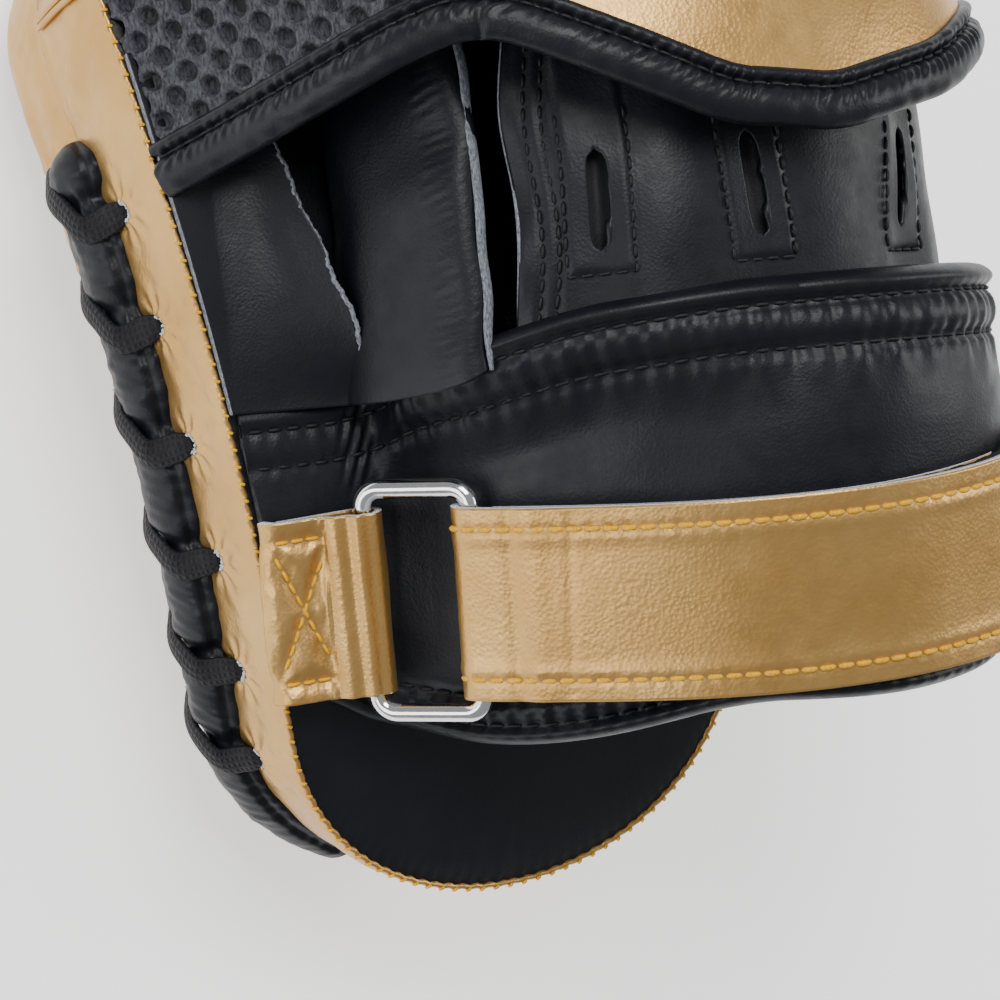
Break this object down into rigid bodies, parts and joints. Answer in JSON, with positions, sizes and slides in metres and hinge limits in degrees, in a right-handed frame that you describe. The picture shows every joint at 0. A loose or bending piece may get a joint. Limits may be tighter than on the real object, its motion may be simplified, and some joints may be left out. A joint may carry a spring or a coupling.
{
  "type": "focus mitt",
  "caption": "Curved padded focus mitt for striking practice, with a laced side, an open finger hood, a padded wrist cuff and a strap through a metal ring.",
  "frame": {"origin": "under the middle of the mitt, on the surface it lies on, strike face down", "axes": "+Z away from the strike face towards the back of the hand, +Y towards the fingertips, +X towards the little finger side"},
  "size_m": [0.1864, 0.2436, 0.1498],
  "materials": {
    "black_leather": "smooth synthetic leather, satin",
    "gold_leather": "metallic gold synthetic leather with a fine pebble grain",
    "spacer_mesh": "open air mesh with hexagonal holes",
    "foam": "closed-cell foam, matt",
    "board": "stiff moulded sheet",
    "chrome_wire": "polished",
    "woven_lace": "flat waxed woven lace",
    "hook_and_loop": "fuzzy woven tape"
  },
  "bodies": {
    "mitt": {"back_panel": "black_leather", "backing_board": "board", "core_foam": "foam", "cuff_cover": "black_leather", "cuff_finger_binding": "black_leather", "cuff_foam": "foam", "cuff_heel_binding": "black_leather", "cuff_lining": "black_leather", "cuff_wing": "black_leather", "front_gusset": "gold_leather", "glove_back": "black_leather", "hood_binding": "black_leather", "hood_leather_panel": "gold_leather", "hood_lining": "foam", "hood_mesh_panel": "spacer_mesh", "impact_foam": "foam", "lacing_roll": "black_leather", "loop_tape": "hook_and_loop", "palm_pad": "black_leather", "rear_gusset": "gold_leather", "ring_tab": "gold_leather", "side_lace_1": "woven_lace", "side_lace_2": "woven_lace", "side_lace_3": "woven_lace", "side_lace_4": "woven_lace", "side_lace_5": "woven_lace", "side_lace_6": "woven_lace", "slot_facing_1": "black_leather", "slot_facing_2": "black_leather", "slot_facing_3": "black_leather", "strap_lead": "gold_leather", "strike_cover": "black_leather", "strike_target": "black_leather", "thumb_cover": "black_leather", "thumb_wall": "black_leather"},
    "ring": {"strap_ring": "chrome_wire"},
    "strap": {"strap_tail": "gold_leather", "hook_tape": "hook_and_loop"}
  },
  "joints": [
    {"name": "ring_swivel", "type": "hinge", "parent": "mitt", "child": "ring", "pos_m": [-0.04809, -0.0551, 0.07293], "axis": [0.0748, -0.9855, -0.1526], "range_deg": [0, 10]},
    {"name": "strap_peel", "type": "hinge", "parent": "ring", "child": "strap", "pos_m": [-0.03321, -0.05673, 0.09074], "axis": [0.0748, -0.9855, -0.1526], "range_deg": [0, 100]}
  ]
}
